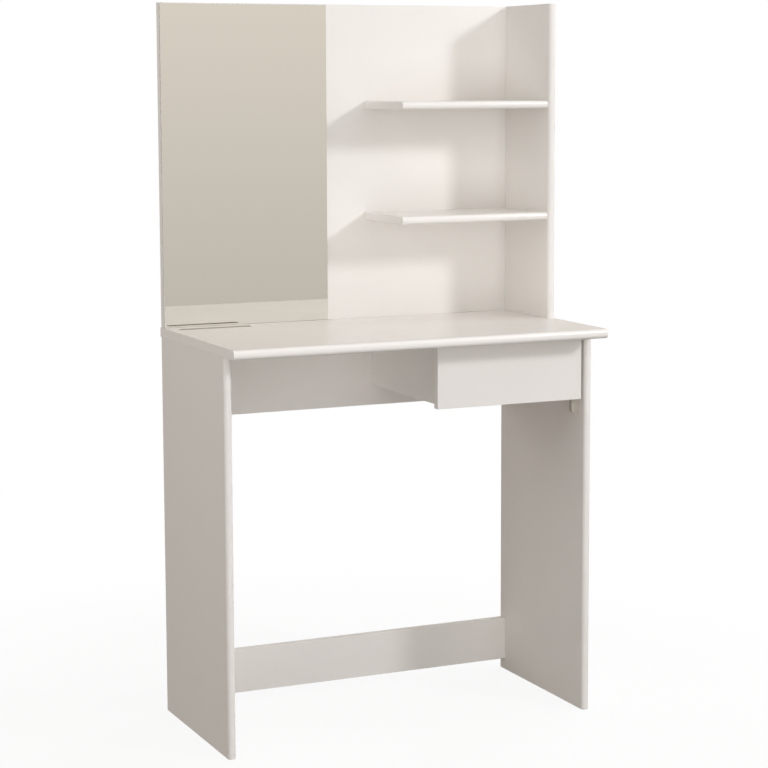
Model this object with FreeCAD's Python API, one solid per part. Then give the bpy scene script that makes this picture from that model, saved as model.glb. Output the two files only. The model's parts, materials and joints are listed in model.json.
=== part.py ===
import FreeCAD, Part
import os
from FreeCAD import Vector

# A flat-pack vanity table in white melamine-faced chipboard: two side panels, a top, a rear apron and a
# low rear stretcher, with an upper section of one back panel, one short side, two shelves and a glued
# mirror, and one drawer on roller runners under the right of the top.
# +X is to the right, +Y to the back, +Z up. The origin is on the floor, under the middle of the outline.
# All lengths are in millimetres.

# Overall sizes
CARCASS_WIDTH = 750.0
PANEL_DEPTH = 345.0
TOP_HEIGHT = 755.0
TOTAL_HEIGHT = 1370.0
TOP_FRONT_LAP = 57.0
TOP_SIDE_LAP = 2.0
BOARD = 15.0
TOP_BOARD = 18.0
NOSING = 6.5
TOP_NOSING = 7.5
EASING = 0.5
MOVING_GAP = 0.3

# Places that follow from the overall sizes
RIGHT = CARCASS_WIDTH / 2
LEFT = -RIGHT
LEFT_INNER = LEFT + BOARD
RIGHT_INNER = RIGHT - BOARD
BACK = (PANEL_DEPTH + TOP_FRONT_LAP) / 2
PANEL_FRONT = BACK - PANEL_DEPTH
TOP_FRONT = -BACK
TOP_UNDER = TOP_HEIGHT - TOP_BOARD

# Rear boards under the top
REAR_INSET = 5.0
REAR_FRONT = BACK - REAR_INSET - BOARD
APRON_HEIGHT = 158.0
STRETCHER_BOTTOM = 23.0
STRETCHER_HEIGHT = 87.0

# Upper section
WALL_FRONT = BACK - BOARD
UPRIGHT_DEPTH = 183.0
SHELF_LENGTH = 313.5
SHELF_DEPTH = 178.0
SHELF_TOPS = {"upper_shelf": 1183.0, "lower_shelf": 965.0}
GLASS_THICK = 3.0
TAPE_THICK = 1.0
TAPE_WIDTH = 19.0
MIRROR_INSET_SIDE = 0.5
MIRROR_INSET_TOP = 1.5
MIRROR_LIFT = 0.3
MIRROR_WIDTH = 338.5

# Cable slot in the top, behind the left of the table
SLOT_LENGTH = 150.0
SLOT_WIDTH = 20.0
SLOT_FROM_SIDE = 15.0
SLOT_FROM_WALL = 25.0
SLOT_CORNER = 6.0

# Drawer
OPENING_WIDTH = 286.0
RUNNER_GAP = 12.5
FRONT_RECESS = 7.0
FRONT_LAP_LEFT = 24.5
FRONT_GAP_RIGHT = 4.0
FRONT_TOP_GAP = 3.0
FRONT_HEIGHT = 120.0
PARTITION_LIFT = 5.0
BOX_BOARD = 12.0
BOX_LIFT = 3.0
BOX_HEIGHT = 83.0
BOX_DEPTH = 280.0
BASE_THICK = 3.0
BASE_LIFT = 8.0
GROOVE_DEPTH = 4.0
GROOVE_SLACK = 0.1

# Roller runners
STEEL = 1.2
RUNNER_LENGTH = 276.0
RUNNER_SETBACK = 16.0
ROLLER_RADIUS = 10.5
ROLLER_WIDTH = 7.0
PIN_RADIUS = 2.5
PIN_SLACK = 0.05
PIN_HEAD = 4.0
PIN_HEAD_THICK = 0.7
ROLLER_OFF_WALL = 2.6
RECESS_RADIUS = 7.5
RECESS_DEPTH = 1.0
RUNNER_SCREW_RADIUS = 1.6
RUNNER_SCREW_HEAD = 3.4
RUNNER_SCREW_HEAD_THICK = 0.9
RUNNER_SCREW_LENGTH = 12.0
BASE_SCREW_LENGTH = 7.0

# Drawer stop
STOP_REACH = 16.0
STOP_THICK = 9.5
STOP_HANG = 29.0
STOP_WALL = 2.5
STOP_FLOOR = 5.0
STOP_CORNER = 7.0
STOP_NECK = 10.5
STOP_NECK_HEIGHT = 18.0
STOP_SCREW_DROP = 14.0
STOP_SCREW_SETBACK = 6.0
STOP_SCREW_HEAD = 3.2
STOP_SCREW_HEAD_THICK = 1.8

# Cam locks and their bolts
CAM_RADIUS = 7.4
CAM_DEPTH = 11.5
CAM_REACH = 24.0
CAM_SLOT_WIDTH = 2.0
CAM_SLOT_LENGTH = 10.0
CAM_MOUTH_RADIUS = 3.6
BOLT_HOLE_RADIUS = 4.0
BOLT_THREAD = 10.5
BOLT_THREAD_RADIUS = 2.5
BOLT_COLLAR_RADIUS = 3.8
BOLT_COLLAR_LENGTH = 3.0
BOLT_NECK_RADIUS = 2.2
BOLT_HEAD_RADIUS = 3.2
BOLT_HEAD_LENGTH = 4.0

# Panel screws and dowels
SCREW_LENGTH = 50.0
SCREW_TIP = 5.0
SCREW_TIP_RADIUS = 0.6
SCREW_RADIUS = 2.5
SCREW_SHANK = 11.0
SCREW_SHANK_RADIUS = 3.5
SCREW_HEAD_RADIUS = 5.0
SCREW_HEAD_DEPTH = 3.0
SOCKET_RADIUS = 2.3
SOCKET_DEPTH = 2.5
DOWEL_RADIUS = 4.0
DOWEL_LENGTH = 30.0
DOWEL_SHORT_END = 10.0
DOWEL_CHAMFER = 0.8
SLACK = 0.1

X_AXIS, Y_AXIS, Z_AXIS = Vector(1, 0, 0), Vector(0, 1, 0), Vector(0, 0, 1)

boards = {}
fittings = {}
groups = {}


def block(x, y, z):
    """A plain block between the low and high values given for each axis."""
    corner = Vector(x[0], y[0], z[0])
    return Part.makeBox(x[1] - x[0], y[1] - y[0], z[1] - z[0], corner)


def rod(start, direction, length, radius):
    return Part.makeCylinder(radius, length, start, direction)


def eased_board(x, y, z, nosing=0.0):
    """A board with eased edges, and with a rounded front edge where nosing is its radius."""
    shape = block(x, y, z)
    if nosing:
        long_side = max(x[1] - x[0], z[1] - z[0])
        shape = shape.makeFillet(nosing, [
            edge for edge in shape.Edges
            if abs(edge.CenterOfMass.y - y[0]) < 0.01 and abs(edge.Length - long_side) < 0.01])
    sharp = [edge for edge in shape.Edges if not smooth_edge(shape, edge)]
    return shape.makeFillet(EASING, sharp)


def smooth_edge(shape, edge):
    """True where the two faces that meet at the edge run into each other with no corner."""
    middle = edge.valueAt((edge.FirstParameter + edge.LastParameter) / 2)
    normals = []
    for face in shape.ancestorsOfType(edge, Part.Face):
        u, v = face.Surface.parameter(middle)
        normals.append(face.normalAt(u, v))
    return normals[0].getAngle(normals[1]) < 0.1


def drill(board, tool):
    boards[board] = boards[board].cut(tool)


def add(group, shape):
    groups.setdefault(group, []).append(shape)


def cam_joint(cam_board, bolt_board, seam, inward, face, prefix=""):
    """A cam lock in cam_board that pulls on a bolt in bolt_board's face.

    seam is where the bolt's axis leaves bolt_board, inward the way into cam_board, and face the
    outward normal of the face that the cam is let into, which lies half a board from the axis.
    """
    depth = BOX_BOARD / 2 if prefix else BOARD / 2
    centre = seam + inward * CAM_REACH
    mouth = centre + face * depth
    cam_depth = CAM_DEPTH - (BOARD - BOX_BOARD if prefix else 0)
    cam = rod(mouth, -face, cam_depth, CAM_RADIUS)
    for across in (inward.cross(face), inward):
        cam = cam.cut(rod(mouth - across * CAM_SLOT_LENGTH / 2, across, CAM_SLOT_LENGTH, CAM_SLOT_WIDTH / 2))
    cam = cam.cut(rod(seam, inward, CAM_REACH + 1, CAM_MOUTH_RADIUS))
    drill(cam_board, rod(mouth, -face, cam_depth + SLACK, CAM_RADIUS + SLACK))
    drill(cam_board, rod(seam, inward, CAM_REACH, BOLT_HOLE_RADIUS))
    drill(bolt_board, rod(seam, -inward, BOLT_THREAD + SLACK, BOLT_THREAD_RADIUS + SLACK))
    head = seam + inward * (CAM_REACH - 1 - BOLT_HEAD_LENGTH)
    bolt = rod(seam, -inward, BOLT_THREAD, BOLT_THREAD_RADIUS)
    bolt = bolt.fuse(rod(seam, inward, BOLT_COLLAR_LENGTH, BOLT_COLLAR_RADIUS))
    bolt = bolt.fuse(rod(seam, inward, CAM_REACH - 1, BOLT_NECK_RADIUS))
    bolt = bolt.fuse(rod(head, inward, BOLT_HEAD_LENGTH, BOLT_HEAD_RADIUS))
    add(prefix + "cam_locks", cam)
    add(prefix + "cam_bolts", bolt.removeSplitter())


def panel_screw(through, into, head, inward, group="panel_screws"):
    """A countersunk connecting screw through one board's face into another board's edge."""
    thread = SCREW_LENGTH - SCREW_TIP
    body = Part.makeCone(SCREW_HEAD_RADIUS, SCREW_SHANK_RADIUS, SCREW_HEAD_DEPTH, head, inward)
    body = body.fuse(rod(head, inward, SCREW_SHANK, SCREW_SHANK_RADIUS))
    body = body.fuse(rod(head, inward, thread, SCREW_RADIUS))
    tip = head + inward * thread
    body = body.fuse(Part.makeCone(SCREW_RADIUS, SCREW_TIP_RADIUS, SCREW_TIP, tip, inward))
    socket = Part.makePolygon([head + hex_corner(inward, i) for i in range(7)])
    body = body.removeSplitter().cut(Part.Face(socket).extrude(inward * SOCKET_DEPTH))
    hole = Part.makeCone(
        SCREW_HEAD_RADIUS + SLACK, SCREW_SHANK_RADIUS + SLACK, SCREW_HEAD_DEPTH, head, inward)
    hole = hole.fuse(rod(head, inward, SCREW_SHANK + SLACK, SCREW_SHANK_RADIUS + SLACK))
    hole = hole.fuse(rod(head, inward, SCREW_LENGTH + 1, SCREW_RADIUS + SLACK))
    drill(through, hole)
    drill(into, hole)
    add(group, body)


def hex_corner(axis, i):
    """Corner i of a screw's hexagonal socket, from the screw's axis."""
    side = Z_AXIS.cross(axis) if abs(axis.z) < 0.5 else X_AXIS
    return FreeCAD.Rotation(axis, 60.0 * i).multVec(side * SOCKET_RADIUS)


def dowel(short_board, long_board, seam, inward):
    """A chamfered beech dowel, its short end in one board's face and the rest in the other's edge."""
    start = seam - inward * DOWEL_SHORT_END
    body = rod(start, inward, DOWEL_LENGTH, DOWEL_RADIUS)
    body = body.makeChamfer(DOWEL_CHAMFER, [edge for edge in body.Edges if edge.Closed])
    drill(short_board, rod(start - inward * SLACK, inward, DOWEL_LENGTH, DOWEL_RADIUS + SLACK))
    drill(long_board, rod(seam, inward, DOWEL_LENGTH - DOWEL_SHORT_END + 1, DOWEL_RADIUS + SLACK))
    add("wooden_dowels", body)


# Main boards ---------------------------------------------------------------------------------------

boards["left_side_panel"] = eased_board(
    (LEFT, LEFT_INNER), (PANEL_FRONT, BACK), (0, TOP_UNDER), NOSING)
boards["right_side_panel"] = eased_board(
    (RIGHT_INNER, RIGHT), (PANEL_FRONT, BACK), (0, TOP_UNDER), NOSING)
boards["table_top"] = eased_board(
    (LEFT - TOP_SIDE_LAP, RIGHT + TOP_SIDE_LAP), (TOP_FRONT, BACK), (TOP_UNDER, TOP_HEIGHT), TOP_NOSING)
boards["back_apron"] = eased_board(
    (LEFT_INNER, RIGHT_INNER), (REAR_FRONT, REAR_FRONT + BOARD), (TOP_UNDER - APRON_HEIGHT, TOP_UNDER))
boards["lower_stretcher"] = eased_board(
    (LEFT_INNER, RIGHT_INNER), (REAR_FRONT, REAR_FRONT + BOARD),
    (STRETCHER_BOTTOM, STRETCHER_BOTTOM + STRETCHER_HEIGHT))

# Drawer opening: the partition hangs under the top, behind the left end of the drawer front.
partition_right = RIGHT_INNER - OPENING_WIDTH
partition_left = partition_right - BOARD
front_bottom = TOP_UNDER - FRONT_TOP_GAP - FRONT_HEIGHT
front_face = PANEL_FRONT + FRONT_RECESS
front_back = front_face + BOARD
boards["drawer_partition"] = eased_board(
    (partition_left, partition_right), (front_back + MOVING_GAP, REAR_FRONT),
    (front_bottom + PARTITION_LIFT, TOP_UNDER))

# Upper section: back panel over the full width, short side and shelves in front of it.
boards["hutch_back_panel"] = eased_board((LEFT, RIGHT), (WALL_FRONT, BACK), (TOP_HEIGHT, TOTAL_HEIGHT))
boards["hutch_side_panel"] = eased_board(
    (RIGHT_INNER, RIGHT), (WALL_FRONT - UPRIGHT_DEPTH, WALL_FRONT), (TOP_HEIGHT, TOTAL_HEIGHT), NOSING)
shelf_end = RIGHT_INNER - SHELF_LENGTH
for name, top in SHELF_TOPS.items():
    boards[name] = eased_board(
        (shelf_end, RIGHT_INNER), (WALL_FRONT - SHELF_DEPTH, WALL_FRONT), (top - BOARD, top), NOSING)

# Mirror: frameless float glass, held to the back panel by four strips of foam tape.
mirror_left = LEFT + MIRROR_INSET_SIDE
mirror_bottom = TOP_HEIGHT + MIRROR_LIFT
mirror_top = TOTAL_HEIGHT - MIRROR_INSET_TOP
glass_back = WALL_FRONT - TAPE_THICK
glass = block((mirror_left, mirror_left + MIRROR_WIDTH), (glass_back - GLASS_THICK, glass_back),
              (mirror_bottom, mirror_top))
glass = glass.makeChamfer(0.6, glass.Edges)
for i in range(4):
    middle = mirror_left + MIRROR_WIDTH * (i + 0.5) / 4
    add("mirror_tape_strips", block((middle - TAPE_WIDTH / 2, middle + TAPE_WIDTH / 2),
                                    (glass_back, WALL_FRONT), (mirror_bottom + 20, mirror_top - 20)))

# Cable slot, cut right through the top.
slot_left = LEFT + SLOT_FROM_SIDE
slot_back = glass_back - GLASS_THICK - SLOT_FROM_WALL
slot = block((slot_left, slot_left + SLOT_LENGTH), (slot_back - SLOT_WIDTH, slot_back),
             (TOP_UNDER - 1, TOP_HEIGHT + 1))
slot = slot.makeFillet(SLOT_CORNER, [e for e in slot.Edges if abs(e.Length - TOP_BOARD - 2) < 0.01])
drill("table_top", slot)

# Drawer box ----------------------------------------------------------------------------------------

box_left = partition_right + RUNNER_GAP
box_right = RIGHT_INNER - RUNNER_GAP
box_bottom = front_bottom + BOX_LIFT
box_back = front_back + BOX_DEPTH
boards["drawer_front"] = eased_board(
    (partition_right - FRONT_LAP_LEFT, RIGHT_INNER - FRONT_GAP_RIGHT), (front_face, front_back),
    (front_bottom, front_bottom + FRONT_HEIGHT))
boards["drawer_left_side"] = eased_board(
    (box_left, box_left + BOX_BOARD), (front_back, box_back), (box_bottom, box_bottom + BOX_HEIGHT))
boards["drawer_right_side"] = eased_board(
    (box_right - BOX_BOARD, box_right), (front_back, box_back), (box_bottom, box_bottom + BOX_HEIGHT))
base_under = box_bottom + BASE_LIFT
base_over = base_under + BASE_THICK
boards["drawer_back"] = eased_board(
    (box_left + BOX_BOARD, box_right - BOX_BOARD), (box_back - BOX_BOARD, box_back),
    (base_over + GROOVE_SLACK, box_bottom + BOX_HEIGHT))
base_left = box_left + BOX_BOARD - GROOVE_DEPTH
base_right = box_right - BOX_BOARD + GROOVE_DEPTH
boards["drawer_bottom"] = block(
    (base_left + GROOVE_SLACK, base_right - GROOVE_SLACK),
    (front_back - GROOVE_DEPTH + GROOVE_SLACK, box_back), (base_under, base_over))
groove = block((base_left, base_right), (front_back - GROOVE_DEPTH, box_back + 1),
               (base_under - GROOVE_SLACK, base_over + GROOVE_SLACK))
for name in ("drawer_front", "drawer_left_side", "drawer_right_side"):
    drill(name, groove)

# Roller runners ------------------------------------------------------------------------------------
# The cabinet member is a channel on the carcass with a roller at its front end. The drawer member is
# an angle under the drawer side, whose top lip lies on that roller, with its own roller at the rear end
# inside the channel. Across is +1 on the right of the drawer and -1 on the left.

lip_under = box_bottom + 2 * ROLLER_RADIUS + 2 * MOVING_GAP + 0.2
axle_height = lip_under - MOVING_GAP - ROLLER_RADIUS
channel_floor = axle_height - ROLLER_RADIUS - MOVING_GAP
runner_front = front_back + RUNNER_SETBACK
front_axle = runner_front + ROLLER_RADIUS + 2
rear_axle = box_back - ROLLER_RADIUS - 4


def across_block(wall, across, depth, y, z):
    """A block that starts at x = wall and reaches towards the middle of the drawer by depth's range."""
    ends = sorted((wall - across * depth[0], wall - across * depth[1]))
    return block(ends, y, z)


def cabinet_runner(wall, across):
    y = (runner_front, runner_front + RUNNER_LENGTH)
    top = lip_under + STEEL + MOVING_GAP
    shape = across_block(wall, across, (0, STEEL), y, (channel_floor - STEEL, top + STEEL))
    for low in (channel_floor - STEEL, top):
        shape = shape.fuse(across_block(wall, across, (0, 9.5), y, (low, low + STEEL)))
    return shape.removeSplitter()


def drawer_runner(side, across):
    y = (front_back + 1.0, box_back)
    under = box_bottom - STEEL
    shape = across_block(side, across, (-STEEL, 0), y, (under, lip_under + STEEL))
    shape = shape.fuse(across_block(side, across, (-STEEL, BOX_BOARD - 2), y, (under, box_bottom)))
    shape = shape.fuse(across_block(side, across, (-10.0, 0), y, (lip_under, lip_under + STEEL)))
    return shape.removeSplitter()


def roller(wall, across, y):
    """A nylon roller that turns about X, with a recess in each face for the head of its pin."""
    start = Vector(wall - across * ROLLER_OFF_WALL, y, axle_height)
    body = rod(start, X_AXIS * -across, ROLLER_WIDTH, ROLLER_RADIUS)
    body = body.makeFillet(0.8, [edge for edge in body.Edges if edge.Closed])
    body = body.cut(rod(start, X_AXIS * -across, ROLLER_WIDTH, PIN_RADIUS + PIN_SLACK))
    recess = rod(start, X_AXIS * -across, RECESS_DEPTH, RECESS_RADIUS)
    far_recess = recess.translated(X_AXIS * -across * (ROLLER_WIDTH - RECESS_DEPTH))
    return body.cut(recess).cut(far_recess)


def roller_pin(base, direction, reach):
    """A riveted pin whose flat head lies in the recess at the roller's far face."""
    pin = rod(base, direction, reach, PIN_RADIUS)
    head = rod(base + direction * (reach - PIN_HEAD_THICK), direction, PIN_HEAD_THICK, PIN_HEAD)
    return pin.fuse(head).removeSplitter()


def runner_screw(head, inward, length, group):
    """A flat-headed runner screw, head being the middle of its seat. Returns the hole for it."""
    cap = rod(head - inward * RUNNER_SCREW_HEAD_THICK, inward, RUNNER_SCREW_HEAD_THICK, RUNNER_SCREW_HEAD)
    body = cap.fuse(rod(head, inward, length, RUNNER_SCREW_RADIUS))
    add(group, body.removeSplitter())
    return rod(head, inward, length + 0.5, RUNNER_SCREW_RADIUS + SLACK)


for hand, across, wall, side, carcass_board in (
        ("left", -1, partition_right, box_left, "drawer_partition"),
        ("right", 1, RIGHT_INNER, box_right, "right_side_panel")):
    outward = X_AXIS * across
    cabinet = cabinet_runner(wall, across)
    for y in (runner_front + 45, runner_front + 140, runner_front + RUNNER_LENGTH - 20):
        seat = Vector(wall - across * STEEL, y, axle_height)
        hole = runner_screw(seat, outward, RUNNER_SCREW_LENGTH, "runner_screws")
        cabinet = cabinet.cut(hole)
        drill(carcass_board, hole)
    front_reach = ROLLER_OFF_WALL + ROLLER_WIDTH - 0.15
    base = Vector(wall, front_axle, axle_height)
    add("cabinet_roller_pins", roller_pin(base, -outward, front_reach))
    cabinet = cabinet.cut(rod(base, -outward, STEEL, PIN_RADIUS))

    drawer_side = "drawer_" + hand + "_side"
    moving = drawer_runner(side, across)
    for y in (front_back + 40, box_back - 60):
        seat = Vector(side - across * BOX_BOARD / 2, y, box_bottom - STEEL)
        hole = runner_screw(seat, Z_AXIS, BASE_SCREW_LENGTH, "drawer_runner_screws")
        moving = moving.cut(hole)
        drill(drawer_side, hole)
    rear_reach = RUNNER_GAP - ROLLER_OFF_WALL - 0.15
    base = Vector(side, rear_axle, axle_height)
    add("drawer_roller_pins", roller_pin(base, outward, rear_reach))
    moving = moving.cut(rod(base, outward, STEEL, PIN_RADIUS))

    fittings[hand + "_cabinet_runner"] = cabinet
    fittings[hand + "_drawer_runner"] = moving
    fittings[hand + "_front_roller"] = roller(wall, across, front_axle)
    fittings[hand + "_rear_roller"] = roller(wall, across, rear_axle)

# Drawer stop: a moulded block on the right side panel that the drawer front closes against. Its foot
# hangs below the drawer and is hollow at the back, and its neck stands in the runner gap.
stop_front = front_back + MOVING_GAP
stop_y = (stop_front, stop_front + STOP_THICK)
stop_bottom = front_bottom - STOP_HANG
foot_top = front_bottom - 1.0
foot = block((RIGHT_INNER - STOP_REACH, RIGHT_INNER), stop_y, (stop_bottom, foot_top))
foot = foot.makeFillet(STOP_CORNER, [
    edge for edge in foot.Edges
    if abs(edge.CenterOfMass.z - stop_bottom) < 0.01 and abs(edge.Length - STOP_THICK) < 0.01])
hollow = block((RIGHT_INNER - STOP_REACH + STOP_WALL, RIGHT_INNER - STOP_WALL),
               (stop_front + STOP_WALL, stop_y[1] + 1), (stop_bottom + STOP_FLOOR, foot_top - STOP_WALL))
neck = block((RIGHT_INNER - STOP_NECK, RIGHT_INNER), stop_y, (foot_top, front_bottom + STOP_NECK_HEIGHT))
seat = Vector(RIGHT_INNER - STOP_WALL, stop_front + STOP_SCREW_SETBACK, front_bottom - STOP_SCREW_DROP)
stop_hole = rod(seat, X_AXIS, RUNNER_SCREW_LENGTH + 0.5, RUNNER_SCREW_RADIUS + SLACK)
fittings["drawer_stop"] = foot.cut(hollow).fuse(neck).removeSplitter().cut(stop_hole)
drill("right_side_panel", stop_hole)
stop_screw = rod(seat - X_AXIS * STOP_SCREW_HEAD_THICK, X_AXIS, STOP_SCREW_HEAD_THICK, STOP_SCREW_HEAD)
stop_screw = stop_screw.fuse(rod(seat, X_AXIS, RUNNER_SCREW_LENGTH, RUNNER_SCREW_RADIUS))
fittings["drawer_stop_screw"] = stop_screw.removeSplitter()

# Fasteners -----------------------------------------------------------------------------------------

rear_middle = REAR_FRONT + BOARD / 2
wall_middle = WALL_FRONT + BOARD / 2
for board, face_x, inward, across in (
        ("left_side_panel", LEFT_INNER, X_AXIS, -1), ("right_side_panel", RIGHT_INNER, -X_AXIS, 1)):
    middle_x = face_x + across * BOARD / 2
    for y in (PANEL_FRONT + 50, BACK - 70):
        cam_joint(board, "table_top", Vector(middle_x, y, TOP_UNDER), -Z_AXIS, inward)
    dowel("table_top", board, Vector(middle_x, PANEL_FRONT + 150, TOP_UNDER), -Z_AXIS)
    for z in (TOP_UNDER - APRON_HEIGHT + 30, TOP_UNDER - 30):
        cam_joint("back_apron", board, Vector(face_x, rear_middle, z), inward, Y_AXIS)
    dowel(board, "back_apron", Vector(face_x, rear_middle, TOP_UNDER - APRON_HEIGHT / 2), inward)
    cam_joint("lower_stretcher", board, Vector(face_x, rear_middle, STRETCHER_BOTTOM + 27), inward, Y_AXIS)
    dowel(board, "lower_stretcher", Vector(face_x, rear_middle, STRETCHER_BOTTOM + 62), inward)

for x in (-150.0, 150.0):
    dowel("table_top", "back_apron", Vector(x, rear_middle, TOP_UNDER), -Z_AXIS)
for y in (front_back + 60, REAR_FRONT - 60):
    cam_joint("drawer_partition", "table_top",
              Vector(partition_left + BOARD / 2, y, TOP_UNDER), -Z_AXIS, X_AXIS)
for z in (front_bottom + 30, TOP_UNDER - 30):
    head = Vector(partition_left + BOARD / 2, REAR_FRONT + BOARD, z)
    panel_screw("back_apron", "drawer_partition", head, -Y_AXIS)

for x in (-280.0, 0.0, 280.0):
    panel_screw("table_top", "hutch_back_panel", Vector(x, wall_middle, TOP_UNDER), Z_AXIS)
for x in (-200.0, 200.0):
    dowel("table_top", "hutch_back_panel", Vector(x, wall_middle, TOP_HEIGHT), Z_AXIS)
for y in (WALL_FRONT - UPRIGHT_DEPTH + 40, WALL_FRONT - 30):
    dowel("table_top", "hutch_side_panel", Vector(RIGHT - BOARD / 2, y, TOP_HEIGHT), Z_AXIS)
for z in (TOP_HEIGHT + 60, (TOP_HEIGHT + TOTAL_HEIGHT) / 2, TOTAL_HEIGHT - 60):
    panel_screw("hutch_back_panel", "hutch_side_panel", Vector(RIGHT - BOARD / 2, BACK, z), -Y_AXIS)
for name, top in SHELF_TOPS.items():
    middle_z = top - BOARD / 2
    for x in (shelf_end + 50, RIGHT_INNER - 90):
        panel_screw("hutch_back_panel", name, Vector(x, BACK, middle_z), -Y_AXIS)
    for y in (WALL_FRONT - SHELF_DEPTH + 40, WALL_FRONT - 40):
        dowel("hutch_side_panel", name, Vector(RIGHT_INNER, y, middle_z), -X_AXIS)

for side_name, middle_x, outer_x, face, inward in (
        ("drawer_left_side", box_left + BOX_BOARD / 2, box_left, X_AXIS, X_AXIS),
        ("drawer_right_side", box_right - BOX_BOARD / 2, box_right, -X_AXIS, -X_AXIS)):
    cam_joint(side_name, "drawer_front", Vector(middle_x, front_back, box_bottom + 50), Y_AXIS, face,
              "drawer_")
    for z in (box_bottom + 34, box_bottom + BOX_HEIGHT - 18):
        head = Vector(outer_x, box_back - BOX_BOARD / 2, z)
        panel_screw(side_name, "drawer_back", head, inward, "drawer_back_screws")

# Output --------------------------------------------------------------------------------------------

os.makedirs("parts", exist_ok=True)
nodes = dict(boards)
nodes.update(fittings)
nodes["mirror_glass"] = glass
for name, solids in groups.items():
    nodes[name] = Part.makeCompound(solids)
for name, shape in nodes.items():
    shape.exportStep("parts/" + name + ".step")
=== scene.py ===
import json
import math
import bpy
import bmesh
from mathutils import Matrix, Vector


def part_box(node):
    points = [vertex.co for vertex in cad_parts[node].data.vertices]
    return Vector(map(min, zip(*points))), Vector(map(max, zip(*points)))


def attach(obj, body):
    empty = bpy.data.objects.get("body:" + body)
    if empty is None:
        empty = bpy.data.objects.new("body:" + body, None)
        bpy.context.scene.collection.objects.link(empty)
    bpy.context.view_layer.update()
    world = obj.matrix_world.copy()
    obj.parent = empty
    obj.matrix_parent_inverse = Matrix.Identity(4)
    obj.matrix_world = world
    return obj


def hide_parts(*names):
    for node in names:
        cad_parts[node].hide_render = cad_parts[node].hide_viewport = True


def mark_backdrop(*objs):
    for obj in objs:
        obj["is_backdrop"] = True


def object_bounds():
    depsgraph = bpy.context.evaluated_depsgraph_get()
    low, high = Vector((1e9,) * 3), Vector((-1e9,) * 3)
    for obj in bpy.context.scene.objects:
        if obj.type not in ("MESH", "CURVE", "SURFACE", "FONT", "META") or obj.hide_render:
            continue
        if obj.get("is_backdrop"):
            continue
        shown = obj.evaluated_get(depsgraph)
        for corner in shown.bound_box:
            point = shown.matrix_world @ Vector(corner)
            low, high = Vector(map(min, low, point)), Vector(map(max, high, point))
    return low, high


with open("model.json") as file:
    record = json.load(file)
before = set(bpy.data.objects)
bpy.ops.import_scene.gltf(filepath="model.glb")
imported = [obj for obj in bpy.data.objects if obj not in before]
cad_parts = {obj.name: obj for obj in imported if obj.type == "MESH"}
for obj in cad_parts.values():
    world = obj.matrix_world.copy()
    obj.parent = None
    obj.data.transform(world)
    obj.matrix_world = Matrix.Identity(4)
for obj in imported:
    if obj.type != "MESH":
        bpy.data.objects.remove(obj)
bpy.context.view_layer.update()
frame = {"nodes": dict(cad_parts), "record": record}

# CAMERA ---------------------------------------------------------------------------------------------
# A long lens at sitting eye height, to the left of the table, looking slightly down at it.

CAMERA_PLACE = Vector((-1.670, -3.673, 1.2205))
CAMERA_TURN = math.radians(24.48)
CAMERA_TILT = math.radians(7.05)
CAMERA_ROLL = math.radians(-0.20)

camera_data = bpy.data.cameras.new("camera")
camera_data.lens = 100.0
camera_data.sensor_width = 36.0
camera_data.shift_y = -0.05
camera = bpy.data.objects.new("camera", camera_data)
bpy.context.collection.objects.link(camera)
bpy.context.scene.camera = camera
camera.location = CAMERA_PLACE
camera.rotation_euler = (
    Matrix.Rotation(-CAMERA_TURN, 3, "Z")
    @ Matrix.Rotation(math.pi / 2 - CAMERA_TILT, 3, "X")
    @ Matrix.Rotation(CAMERA_ROLL, 3, "Z")
).to_euler()

# BOARDS ---------------------------------------------------------------------------------------------
# Every panel of the table, its upper section and its drawer is 12, 15 or 18 mm chipboard, pressed with
# white melamine paper on both faces and glued with white edging, rounded over on the front edges.
# The CAD shapes are right, so they stay and only take the finish.

MM = 0.001


def linear(hex_colour):
    """An sRGB hex colour as linear red, green, blue and alpha."""
    parts = [int(hex_colour[i:i + 2], 16) / 255 for i in (0, 2, 4)]
    return [c / 12.92 if c <= 0.04045 else ((c + 0.055) / 1.055) ** 2.4 for c in parts] + [1.0]


def add_node(tree, kind, settings, links):
    """Adds a node, sets its own settings or its sockets' values, and links its sockets."""
    node = tree.nodes.new(kind)
    for name, value in settings.items():
        if isinstance(name, str) and hasattr(node, name):
            setattr(node, name, value)
        else:
            node.inputs[name].default_value = value
    for name, source in links.items():
        tree.links.new(source, node.inputs[name])
    return node


def new_finish(name):
    """An empty material with its shader: returns the material, its tree, and the shader."""
    finish = bpy.data.materials.new(name)
    finish.use_nodes = True
    tree = finish.node_tree
    tree.nodes.clear()
    shader = tree.nodes.new("ShaderNodeBsdfPrincipled")
    output = tree.nodes.new("ShaderNodeOutputMaterial")
    tree.links.new(shader.outputs["BSDF"], output.inputs["Surface"])
    return finish, tree, shader


FACE_PAPER = linear("F7F4F0")
FACE_PAPER_SHADE = linear("F4F1ED")
EDGING = linear("F9F6F2")
CLOUD_MM = 90.0
PORE_MM = 0.9
PORE_DEPTH_MM = 0.02


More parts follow.
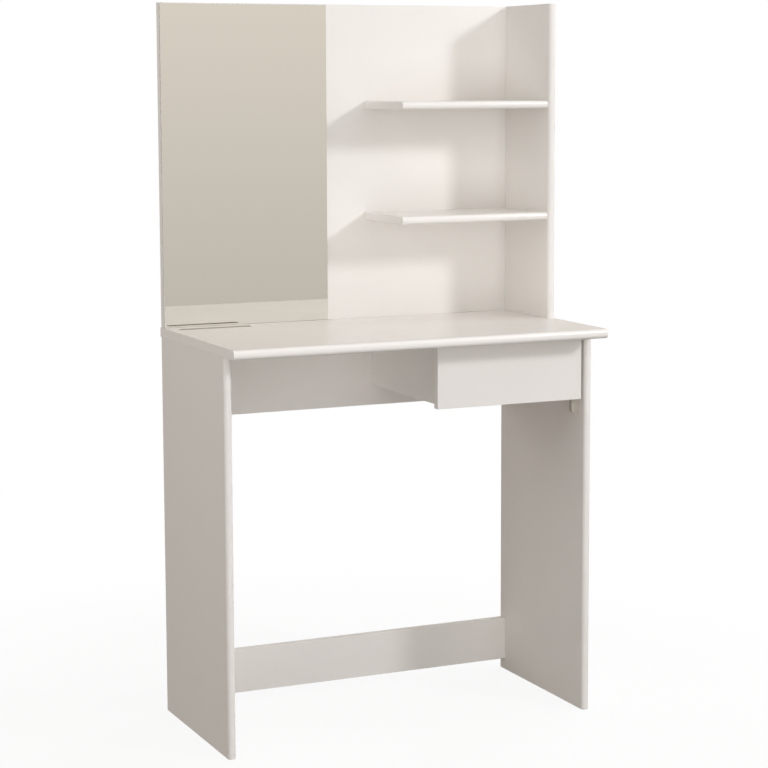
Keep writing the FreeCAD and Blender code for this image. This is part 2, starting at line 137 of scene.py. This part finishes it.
def melamine_faced_chipboard(name, thickness_axis):
    """White melamine: a faint cloudiness in the paper, fine pressed pores, and smoother edging.

    thickness_axis is 0, 1 or 2 for a board that lies across X, Y or Z. Faces that are turned away
    from it are the edging.
    """
    finish, tree, shader = new_finish(name)
    place = tree.nodes.new("ShaderNodeTexCoord")
    normal = add_node(tree, "ShaderNodeSeparateXYZ", {}, {0: place.outputs["Normal"]})
    facing = add_node(tree, "ShaderNodeMath", {"operation": "ABSOLUTE"}, {0: normal.outputs[thickness_axis]})
    on_face = add_node(tree, "ShaderNodeMapRange", {"From Min": 0.85, "From Max": 0.97},
                       {"Value": facing.outputs[0]})
    cloud = add_node(tree, "ShaderNodeTexNoise", {"Scale": 1 / (CLOUD_MM * MM), "Detail": 3.0},
                     {"Vector": place.outputs["Object"]})
    paper = add_node(tree, "ShaderNodeMix", {"data_type": "RGBA", 6: FACE_PAPER, 7: FACE_PAPER_SHADE},
                     {0: cloud.outputs["Fac"]})
    colour = add_node(tree, "ShaderNodeMix", {"data_type": "RGBA", 6: EDGING},
                      {0: on_face.outputs[0], 7: paper.outputs[2]})
    gloss = add_node(tree, "ShaderNodeMapRange", {"To Min": 0.20, "To Max": 0.26},
                     {"Value": cloud.outputs["Fac"]})
    pores = add_node(tree, "ShaderNodeTexNoise", {"Scale": 1 / (PORE_MM * MM), "Detail": 2.0},
                     {"Vector": place.outputs["Object"]})
    bump = add_node(tree, "ShaderNodeBump", {"Strength": 0.12, "Distance": PORE_DEPTH_MM * MM},
                    {"Height": pores.outputs["Fac"]})
    tree.links.new(colour.outputs[2], shader.inputs["Base Color"])
    tree.links.new(gloss.outputs[0], shader.inputs["Roughness"])
    tree.links.new(bump.outputs["Normal"], shader.inputs["Normal"])
    shader.inputs["IOR"].default_value = 1.5
    return finish


def dress(finish, *nodes):
    """Gives CAD nodes their finish."""
    for name in nodes:
        slots = frame["nodes"][name].material_slots
        for material_slot in slots:
            material_slot.material = finish


dress(melamine_faced_chipboard("melamine_faced_chipboard_upright", 0),
      "left_side_panel", "right_side_panel", "drawer_partition", "hutch_side_panel",
      "drawer_left_side", "drawer_right_side")
dress(melamine_faced_chipboard("melamine_faced_chipboard_wall", 1),
      "back_apron", "lower_stretcher", "hutch_back_panel", "drawer_front", "drawer_back")
dress(melamine_faced_chipboard("melamine_faced_chipboard_shelf", 2), "upper_shelf", "lower_shelf")

# The cable slot is milled after the board is faced, so its walls show the pale bare chipboard.
CHIP_MM = 1.6
SLOT_MARGIN = 9 * MM
SLOT_OVAL = (1, 3, 0)       # an oval round the slot, three times as long as it is wide, at any height

slotted_top = melamine_faced_chipboard("melamine_faced_chipboard_milled", 2)
tree = slotted_top.node_tree
shader = tree.nodes["Principled BSDF"]
slot_box = [opening["box_m"] for opening in frame["record"]["physics"]["openings"]
            if opening["name"] == "cable_slot"][0]
slot_low, slot_high = Vector(slot_box[0]), Vector(slot_box[1])
slot_middle = (slot_low + slot_high) / 2
slot_half = (slot_high.x - slot_low.x) / 2 + SLOT_MARGIN
place = tree.nodes.new("ShaderNodeTexCoord")
from_slot = add_node(tree, "ShaderNodeVectorMath", {"operation": "SUBTRACT", 1: slot_middle},
                     {0: place.outputs["Object"]})
oval = add_node(tree, "ShaderNodeVectorMath", {"operation": "MULTIPLY", 1: SLOT_OVAL},
                {0: from_slot.outputs[0]})
reach = add_node(tree, "ShaderNodeVectorMath", {"operation": "LENGTH"}, {0: oval.outputs[0]})
near_slot = add_node(tree, "ShaderNodeMath", {"operation": "LESS_THAN", 1: slot_half},
                     {0: reach.outputs["Value"]})
normal = add_node(tree, "ShaderNodeSeparateXYZ", {}, {0: place.outputs["Normal"]})
lying = add_node(tree, "ShaderNodeMath", {"operation": "ABSOLUTE"}, {0: normal.outputs[2]})
standing = add_node(tree, "ShaderNodeMath", {"operation": "LESS_THAN", 1: 0.5}, {0: lying.outputs[0]})
milled = add_node(tree, "ShaderNodeMath", {"operation": "MULTIPLY"},
                  {0: near_slot.outputs[0], 1: standing.outputs[0]})
chips = add_node(tree, "ShaderNodeTexVoronoi", {"Scale": 1 / (CHIP_MM * MM)},
                 {"Vector": place.outputs["Object"]})
bare = add_node(tree, "ShaderNodeMix", {"data_type": "RGBA", 6: linear("B4ADA2"), 7: linear("D0C9BE")},
                {0: chips.outputs["Distance"]})
faced = shader.inputs["Base Color"].links[0].from_socket
colour = add_node(tree, "ShaderNodeMix", {"data_type": "RGBA"},
                  {0: milled.outputs[0], 6: faced, 7: bare.outputs[2]})
tree.links.new(colour.outputs[2], shader.inputs["Base Color"])
dress(slotted_top, "table_top")

# MIRROR ---------------------------------------------------------------------------------------------
# A frameless sheet of 3 mm float glass, silvered and painted on the back, with its sharp edges ground
# off. It is glued to the back panel with four strips of white foam tape.

ARRIS = 0.4 * MM


def deselect_all():
    """Leaves edit mode, and leaves nothing selected."""
    if bpy.context.object and bpy.context.object.mode != "OBJECT":
        bpy.ops.object.mode_set(mode="OBJECT")
    bpy.ops.object.select_all(action="DESELECT")


def start_block(name, low, high):
    """A new block between two corners, with its place in its mesh."""
    deselect_all()
    bpy.ops.mesh.primitive_cube_add(size=1.0, location=(low + high) / 2)
    piece = bpy.context.object
    piece.name = piece.data.name = name
    piece.scale = high - low
    bpy.ops.object.transform_apply(location=True, rotation=True, scale=True)
    return piece


def two_tone_finish(name, pattern_mm, detail, dark, light, roughness):
    """A plain finish whose colour drifts between two close tones."""
    finish, tree, shader = new_finish(name)
    place = tree.nodes.new("ShaderNodeTexCoord")
    pattern = add_node(tree, "ShaderNodeTexNoise", {"Scale": 1 / (pattern_mm * MM), "Detail": detail},
                       {"Vector": place.outputs["Object"]})
    colour = add_node(tree, "ShaderNodeMix", {"data_type": "RGBA", 6: linear(dark), 7: linear(light)},
                      {0: pattern.outputs["Fac"]})
    tree.links.new(colour.outputs[2], shader.inputs["Base Color"])
    shader.inputs["Roughness"].default_value = roughness
    return finish


mirror = start_block("silvered_mirror", *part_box("mirror_glass"))
bpy.ops.object.mode_set(mode="EDIT")
bpy.ops.mesh.select_all(action="SELECT")
bpy.ops.mesh.bevel(offset=ARRIS, segments=2, affect="EDGES")
bpy.ops.object.mode_set(mode="OBJECT")

silvered, tree, shader = new_finish("silvered_float_glass")
place = tree.nodes.new("ShaderNodeTexCoord")
haze = add_node(tree, "ShaderNodeTexNoise", {"Scale": 1 / (120 * MM), "Detail": 4.0},
                {"Vector": place.outputs["Object"]})
haze_range = add_node(tree, "ShaderNodeMapRange", {"To Min": 0.006, "To Max": 0.014},
                      {"Value": haze.outputs["Fac"]})
tree.links.new(haze_range.outputs[0], shader.inputs["Roughness"])
shader.inputs["Base Color"].default_value = linear("F2F2EF")
shader.inputs["Metallic"].default_value = 1.0

# The ground edge is pale frosted glass, and its two tones are raised further as a painted glow: they stand in
# for the light that the silvering reflects out through the edge.
edge_finish_painted_glow = two_tone_finish("ground_glass_edge_painted_glow", 0.6, 2.0, "DFE3DD", "ECEFEA", 0.35)
backing = two_tone_finish("mirror_backing_paint", 2.0, 3.0, "7D8587", "868E90", 0.5)

for finish in (silvered, edge_finish_painted_glow, backing):
    mirror.data.materials.append(finish)
for face in mirror.data.polygons:
    if face.normal.y < -0.95:
        face.material_index = 0
    elif face.normal.y > 0.95:
        face.material_index = 2
    else:
        face.material_index = 1
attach(mirror, "carcass")
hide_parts("mirror_glass")

foam, tree, shader = new_finish("white_foam_tape")
place = tree.nodes.new("ShaderNodeTexCoord")
cells = add_node(tree, "ShaderNodeTexVoronoi", {"Scale": 1 / (0.5 * MM)}, {"Vector": place.outputs["Object"]})
foam_colour = add_node(tree, "ShaderNodeMix", {"data_type": "RGBA", 6: linear("D8D6D0"), 7: linear("EDEBE6")},
                       {0: cells.outputs["Distance"]})
tree.links.new(foam_colour.outputs[2], shader.inputs["Base Color"])
shader.inputs["Roughness"].default_value = 0.8
dress(foam, "mirror_tape_strips")

# DRAWER BASE ----------------------------------------------------------------------------------------
# A 3 mm hardboard sheet, painted white on its upper face and bare brown below, held in grooves in the
# drawer's front and sides.

hardboard, tree, shader = new_finish("painted_hardboard")
place = tree.nodes.new("ShaderNodeTexCoord")
normal = add_node(tree, "ShaderNodeSeparateXYZ", {}, {0: place.outputs["Normal"]})
painted = add_node(tree, "ShaderNodeMath", {"operation": "GREATER_THAN", 1: 0.5}, {0: normal.outputs[2]})
fibres = add_node(tree, "ShaderNodeTexNoise", {"Scale": 1 / (1.5 * MM), "Detail": 4.0, "Distortion": 1.5},
                  {"Vector": place.outputs["Object"]})
brown = add_node(tree, "ShaderNodeMix", {"data_type": "RGBA", 6: linear("8A6A4A"), 7: linear("A98660")},
                 {0: fibres.outputs["Fac"]})
two_sides = add_node(tree, "ShaderNodeMix", {"data_type": "RGBA", 7: linear("EEEBE6")},
                     {0: painted.outputs[0], 6: brown.outputs[2]})
tree.links.new(two_sides.outputs[2], shader.inputs["Base Color"])
shader.inputs["Roughness"].default_value = 0.5
dress(hardboard, "drawer_bottom")

# RUNNERS --------------------------------------------------------------------------------------------
# Roller runners: a channel screwed to the carcass and an angle under each drawer side, rolled from
# 1.2 mm steel strip and coated with white epoxy powder.

coated_steel = two_tone_finish("epoxy_coated_steel", 1.2, 2.0, "E9E6E0", "EFECE7", 0.3)
tree = coated_steel.node_tree
shader = tree.nodes["Principled BSDF"]
peel = tree.nodes["Noise Texture"]
bump = add_node(tree, "ShaderNodeBump", {"Strength": 0.3, "Distance": 0.02 * MM},
                {"Height": peel.outputs["Fac"]})
tree.links.new(bump.outputs["Normal"], shader.inputs["Normal"])

STEEL = 1.2 * MM
BEND = 1.4 * MM
BURR = 0.2 * MM
HOLE = 2.2 * MM
CHANNEL_HOLES = (70, 95, 115, 165, 190, 220, 235)    # millimetres from the front end
ANGLE_HOLES = (30, 62, 94, 150, 190)


def select_where(piece, test):
    """In edit mode, selects the points that pass a test of their place, and the edges between them."""
    cage = bmesh.from_edit_mesh(piece.data)
    for point in cage.verts:
        point.select_set(test(point.co))
    cage.select_flush(True)
    cage.select_flush_mode()
    bmesh.update_edit_mesh(piece.data)


def apply_modifier(piece, kind, **settings):
    """Adds a modifier with its settings to the active piece and applies it."""
    modifier = piece.modifiers.new(kind.lower(), kind)
    for name, value in settings.items():
        setattr(modifier, name, value)
    bpy.ops.object.modifier_apply(modifier=modifier.name)


def rolled_strip(name, section, front, back):
    """A steel strip from front to back along Y. section is the X and Z of its middle at each bend."""
    deselect_all()
    start, turn = section[0], section[1]
    middle = ((start[0] + turn[0]) / 2, (front + back) / 2, start[1])
    bpy.ops.mesh.primitive_plane_add(size=1.0, location=middle)
    piece = bpy.context.object
    piece.name = piece.data.name = name
    piece.scale = (abs(turn[0] - start[0]), back - front, 1.0)
    bpy.ops.object.transform_apply(location=True, rotation=True, scale=True)
    bpy.ops.object.mode_set(mode="EDIT")
    for here, there in zip(section[1:], section[2:]):
        select_where(piece, lambda co: math.dist((co.x, co.z), here) < BURR)
        step = (there[0] - here[0], 0.0, there[1] - here[1])
        bpy.ops.mesh.extrude_region_move(TRANSFORM_OT_translate={"value": step})
    select_where(piece, lambda co: min(math.dist((co.x, co.z), bend) for bend in section[1:-1]) < BURR)
    bpy.ops.mesh.bevel(offset=BEND, segments=4, affect="EDGES")
    bpy.ops.object.mode_set(mode="OBJECT")
    apply_modifier(piece, "SOLIDIFY", thickness=STEEL, offset=0.0, use_even_offset=True)
    return piece


def punch(piece, places):
    """Round holes through the upright web of a strip."""
    for place in places:
        deselect_all()
        bpy.ops.mesh.primitive_cylinder_add(vertices=24, radius=HOLE, depth=4 * STEEL, location=place,
                                            rotation=(0.0, math.pi / 2, 0.0))
        punch_tool = bpy.context.object
        deselect_all()
        bpy.context.view_layer.objects.active = piece
        piece.select_set(True)
        apply_modifier(piece, "BOOLEAN", object=punch_tool, operation="DIFFERENCE", solver="EXACT")
        bpy.data.objects.remove(punch_tool)


def finish_steel(piece, body, node):
    """Breaks the sharp edges of a strip, coats it, and puts it in place of its CAD node."""
    apply_modifier(piece, "BEVEL", width=BURR, segments=2, limit_method="ANGLE", angle_limit=math.radians(50))
    bpy.ops.object.mode_set(mode="EDIT")
    bpy.ops.mesh.select_all(action="SELECT")
    bpy.ops.mesh.normals_make_consistent(inside=False)
    bpy.ops.object.mode_set(mode="OBJECT")
    bpy.ops.object.shade_smooth_by_angle(angle=math.radians(35))
    piece.data.materials.append(coated_steel)
    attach(piece, body)
    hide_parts(node)


for hand in ("left", "right"):
    # The channel opens towards the drawer. Its flanges lie level, above and below the rollers.
    low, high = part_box(hand + "_cabinet_runner")
    wall, inward = (low.x, 1) if hand == "left" else (high.x, -1)
    web = wall + inward * STEEL / 2
    rim = wall + inward * (high.x - low.x)
    bottom, top = low.z + STEEL / 2, high.z - STEEL / 2
    channel = rolled_strip(hand + "_rolled_channel", [(rim, bottom), (web, bottom), (web, top), (rim, top)],
                           low.y, high.y)
    middle = (bottom + top) / 2
    punch(channel, [(web, low.y + along * MM, middle) for along in CHANNEL_HOLES])
    finish_steel(channel, "carcass", hand + "_cabinet_runner")

    # The angle lies under and beside the drawer side. Its lip runs on the front roller.
    low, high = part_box(hand + "_drawer_runner")
    side_low, side_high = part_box("drawer_" + hand + "_side")
    wall, inward = (low.x, 1) if hand == "left" else (high.x, -1)
    side = side_low.x if hand == "left" else side_high.x
    web = side - inward * STEEL / 2
    rim = wall + inward * (high.x - low.x)
    bottom, top = low.z + STEEL / 2, high.z - STEEL / 2
    angle = rolled_strip(hand + "_rolled_angle", [(wall, top), (web, top), (web, bottom), (rim, bottom)],
                         low.y, high.y)
    middle = (bottom + top) / 2
    punch(angle, [(web, low.y + along * MM, middle) for along in ANGLE_HOLES])
    finish_steel(angle, "drawer", hand + "_drawer_runner")

# ROLLERS --------------------------------------------------------------------------------------------
# Four moulded nylon wheels, 21 mm across, each on a riveted pin.

nylon = two_tone_finish("moulded_nylon", 4.0, 2.0, "E6E1D6", "EEEAE0", 0.35)
shader = nylon.node_tree.nodes["Principled BSDF"]
shader.inputs["Subsurface Weight"].default_value = 0.1
shader.inputs["Subsurface Scale"].default_value = 0.003
dress(nylon, "left_front_roller", "right_front_roller", "left_rear_roller", "right_rear_roller")

# DRAWER STOP ----------------------------------------------------------------------------------------
# A small grey moulding screwed to the right side panel, which the drawer front closes against.

dress(two_tone_finish("moulded_grey_plastic", 0.8, 2.0, "BDB7AC", "C5BFB5", 0.4), "drawer_stop")

# FITTINGS -------------------------------------------------------------------------------------------
# Zinc-plated screws, pins and cam bolts, die-cast zinc cams, and beech dowels inside the joints.

zinc_plate, tree, shader = new_finish("zinc_plated_steel")
place = tree.nodes.new("ShaderNodeTexCoord")
spangle = add_node(tree, "ShaderNodeTexNoise", {"Scale": 1 / (1.0 * MM), "Detail": 3.0},
                   {"Vector": place.outputs["Object"]})
spangle_range = add_node(tree, "ShaderNodeMapRange", {"To Min": 0.22, "To Max": 0.4},
                         {"Value": spangle.outputs["Fac"]})
tree.links.new(spangle_range.outputs[0], shader.inputs["Roughness"])
shader.inputs["Base Color"].default_value = linear("C9CACC")
shader.inputs["Metallic"].default_value = 1.0
dress(zinc_plate, "cabinet_roller_pins", "drawer_roller_pins", "runner_screws", "drawer_runner_screws",
      "drawer_stop_screw", "cam_bolts", "drawer_cam_bolts", "panel_screws", "drawer_back_screws")

die_cast, tree, shader = new_finish("die_cast_zinc")
place = tree.nodes.new("ShaderNodeTexCoord")
casting = add_node(tree, "ShaderNodeTexNoise", {"Scale": 1 / (0.7 * MM), "Detail": 4.0},
                   {"Vector": place.outputs["Object"]})
casting_range = add_node(tree, "ShaderNodeMapRange", {"To Min": 0.4, "To Max": 0.6},
                         {"Value": casting.outputs["Fac"]})
bump = add_node(tree, "ShaderNodeBump", {"Strength": 0.4, "Distance": 0.05 * MM},
                {"Height": casting.outputs["Fac"]})
tree.links.new(casting_range.outputs[0], shader.inputs["Roughness"])
tree.links.new(bump.outputs["Normal"], shader.inputs["Normal"])
shader.inputs["Base Color"].default_value = linear("A9AAAC")
shader.inputs["Metallic"].default_value = 1.0
dress(die_cast, "cam_locks", "drawer_cam_locks")

beech, tree, shader = new_finish("beech")
place = tree.nodes.new("ShaderNodeTexCoord")
stretch = add_node(tree, "ShaderNodeMapping", {"Scale": (1.0, 0.12, 1.0)},
                   {"Vector": place.outputs["Object"]})
rays = add_node(tree, "ShaderNodeTexNoise", {"Scale": 1 / (0.6 * MM), "Detail": 3.0},
                {"Vector": stretch.outputs[0]})
beech_colour = add_node(tree, "ShaderNodeMix",
                        {"data_type": "RGBA", 6: linear("C9A173"), 7: linear("DDBB8E")},
                        {0: rays.outputs["Fac"]})
tree.links.new(beech_colour.outputs[2], shader.inputs["Base Color"])
shader.inputs["Roughness"].default_value = 0.6
dress(beech, "wooden_dowels")

# STUDIO ---------------------------------------------------------------------------------------------
# A white studio. The pale floor fades into a white surround, and a round key light at the front right
# throws the shadows across the back panel. Soft boxes stand all round. A beige room shows in gloss only.

FLOOR_RADIUS = 20.0
STUDIO_RADIUS = 19.0
ROOM_RADIUS = 18.0
FLOOR_GLOW = 0.90
FADE_START = 0.5
FADE_END = 1.5
ROOM_LOW = -0.08
ROOM_HIGH = 0.12
KEY_PLACE = Vector((2.883, -3.592, 2.832))
KEY_SIZE = 0.68
KEY_WATTS = 75
LIGHT_AIM = Vector((0.0, 0.0, 0.9))
SOFT_BOX_SIZE = 1.6
SOFT_BOX_DISTANCE = 3.0

# Each soft box's turn to the right of straight ahead and its height, in degrees, its watts and its tint.
SOFT_BOXES = {
    "front_high": (0, 22, 15, "FFFFFF"),
    "front_low": (0, -8, 20.5, "FFFFFF"),
    "left_low": (-40, -8, 11, "FAFCFF"),
    "left_high": (-75, 22, 19, "FFFFFF"),
    "back_left": (-115, 4, 13, "FFF8F2"),
    "right_high": (75, 22, 17, "FFFFFF"),
    "right_top": (60, 55, 10, "FFFFFF"),
    "overhead": (0, 82, 8, "FFFFFF"),
    "back_right": (126, -4, 78, "F0F6FF"),
}


def new_stage_paint(name):
    """An empty material for the floor or a surround: returns it and its tree."""
    paint = bpy.data.materials.new(name)
    paint.use_nodes = True
    paint.node_tree.nodes.clear()
    return paint, paint.node_tree


deselect_all()
bpy.ops.mesh.primitive_circle_add(vertices=96, radius=FLOOR_RADIUS, fill_type="NGON", location=(0, 0, 0))
floor = bpy.context.object
floor.name = "floor"
floor_paint, tree = new_stage_paint("pale_floor_paint")
place = tree.nodes.new("ShaderNodeTexCoord")
distance = add_node(tree, "ShaderNodeVectorMath", {"operation": "LENGTH"}, {0: place.outputs["Object"]})
fade = add_node(tree, "ShaderNodeMapRange",
                {"interpolation_type": "SMOOTHSTEP", "From Min": FADE_START, "From Max": FADE_END,
                 "To Min": FLOOR_GLOW}, {"Value": distance.outputs["Value"]})
matt = add_node(tree, "ShaderNodeBsdfDiffuse", {"Color": linear("F7F6F4")}, {})
glow = add_node(tree, "ShaderNodeEmission", {"Color": linear("FFFFFF"), "Strength": 1.0}, {})
blend = add_node(tree, "ShaderNodeMixShader", {},
                 {0: fade.outputs[0], 1: matt.outputs[0], 2: glow.outputs[0]})
add_node(tree, "ShaderNodeOutputMaterial", {}, {"Surface": blend.outputs[0]})
floor.data.materials.append(floor_paint)
floor.visible_diffuse = False
floor.visible_glossy = False
floor.visible_shadow = False

bpy.ops.mesh.primitive_uv_sphere_add(segments=48, ring_count=24, radius=STUDIO_RADIUS)
surround = bpy.context.object
surround.name = "surround"
surround_paint, tree = new_stage_paint("white_surround")
glow = add_node(tree, "ShaderNodeEmission", {"Color": linear("FFFFFF"), "Strength": 1.0}, {})
add_node(tree, "ShaderNodeOutputMaterial", {}, {"Surface": glow.outputs[0]})
surround.data.materials.append(surround_paint)
for ray in ("visible_diffuse", "visible_glossy", "visible_transmission", "visible_shadow"):
    setattr(surround, ray, False)

bpy.ops.mesh.primitive_uv_sphere_add(segments=48, ring_count=24, radius=ROOM_RADIUS)
room = bpy.context.object
room.name = "room"
room_paint, tree = new_stage_paint("beige_room")
place = tree.nodes.new("ShaderNodeTexCoord")
direction = add_node(tree, "ShaderNodeVectorMath", {"operation": "NORMALIZE"}, {0: place.outputs["Object"]})
height = add_node(tree, "ShaderNodeSeparateXYZ", {}, {0: direction.outputs[0]})
rise = add_node(tree, "ShaderNodeMapRange", {"From Min": ROOM_LOW, "From Max": ROOM_HIGH},
                {"Value": height.outputs[2]})
wall = add_node(tree, "ShaderNodeMix", {"data_type": "RGBA", 6: linear("C5BFB6"), 7: linear("E2DACF")},
                {0: rise.outputs[0]})
glow = add_node(tree, "ShaderNodeEmission", {"Strength": 1.0}, {"Color": wall.outputs[2]})
add_node(tree, "ShaderNodeOutputMaterial", {}, {"Surface": glow.outputs[0]})
room.data.materials.append(room_paint)
for ray in ("visible_camera", "visible_diffuse", "visible_shadow"):
    setattr(room, ray, False)
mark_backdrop(floor, surround, room)


def add_light(name, shape, size, place, watts, tint):
    """An area light that faces the middle of the table."""
    lamp = bpy.data.lights.new(name, "AREA")
    lamp.shape = shape
    lamp.size = size
    lamp.energy = watts
    lamp.color = linear(tint)[:3]
    light = bpy.data.objects.new(name, lamp)
    bpy.context.collection.objects.link(light)
    light.location = place
    light.rotation_euler = (place - LIGHT_AIM).to_track_quat("Z", "Y").to_euler()
    light.visible_camera = False
    return light


add_light("key_light", "DISK", KEY_SIZE, KEY_PLACE, KEY_WATTS, "FAFBFF")
for name, (turn_degrees, rise_degrees, watts, tint) in SOFT_BOXES.items():
    turn, rise = math.radians(turn_degrees), math.radians(rise_degrees)
    towards = Vector((math.sin(turn) * math.cos(rise), -math.cos(turn) * math.cos(rise), math.sin(rise)))
    soft_box = add_light(name, "SQUARE", SOFT_BOX_SIZE, LIGHT_AIM + towards * SOFT_BOX_DISTANCE, watts, tint)
    soft_box.visible_glossy = False

# A weak warm light from all round, which neither the camera nor a reflection sees.
world = bpy.data.worlds.new("studio_light")
bpy.context.scene.world = world
world.use_nodes = True
world.cycles_visibility.camera = False
world.cycles_visibility.glossy = False
tree = world.node_tree
tree.nodes.clear()
background = add_node(tree, "ShaderNodeBackground", {"Color": linear("FFE6CC"), "Strength": 0.10}, {})
add_node(tree, "ShaderNodeOutputWorld", {}, {"Surface": background.outputs[0]})
bpy.context.scene.view_settings.view_transform = "Standard"

low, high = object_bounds()
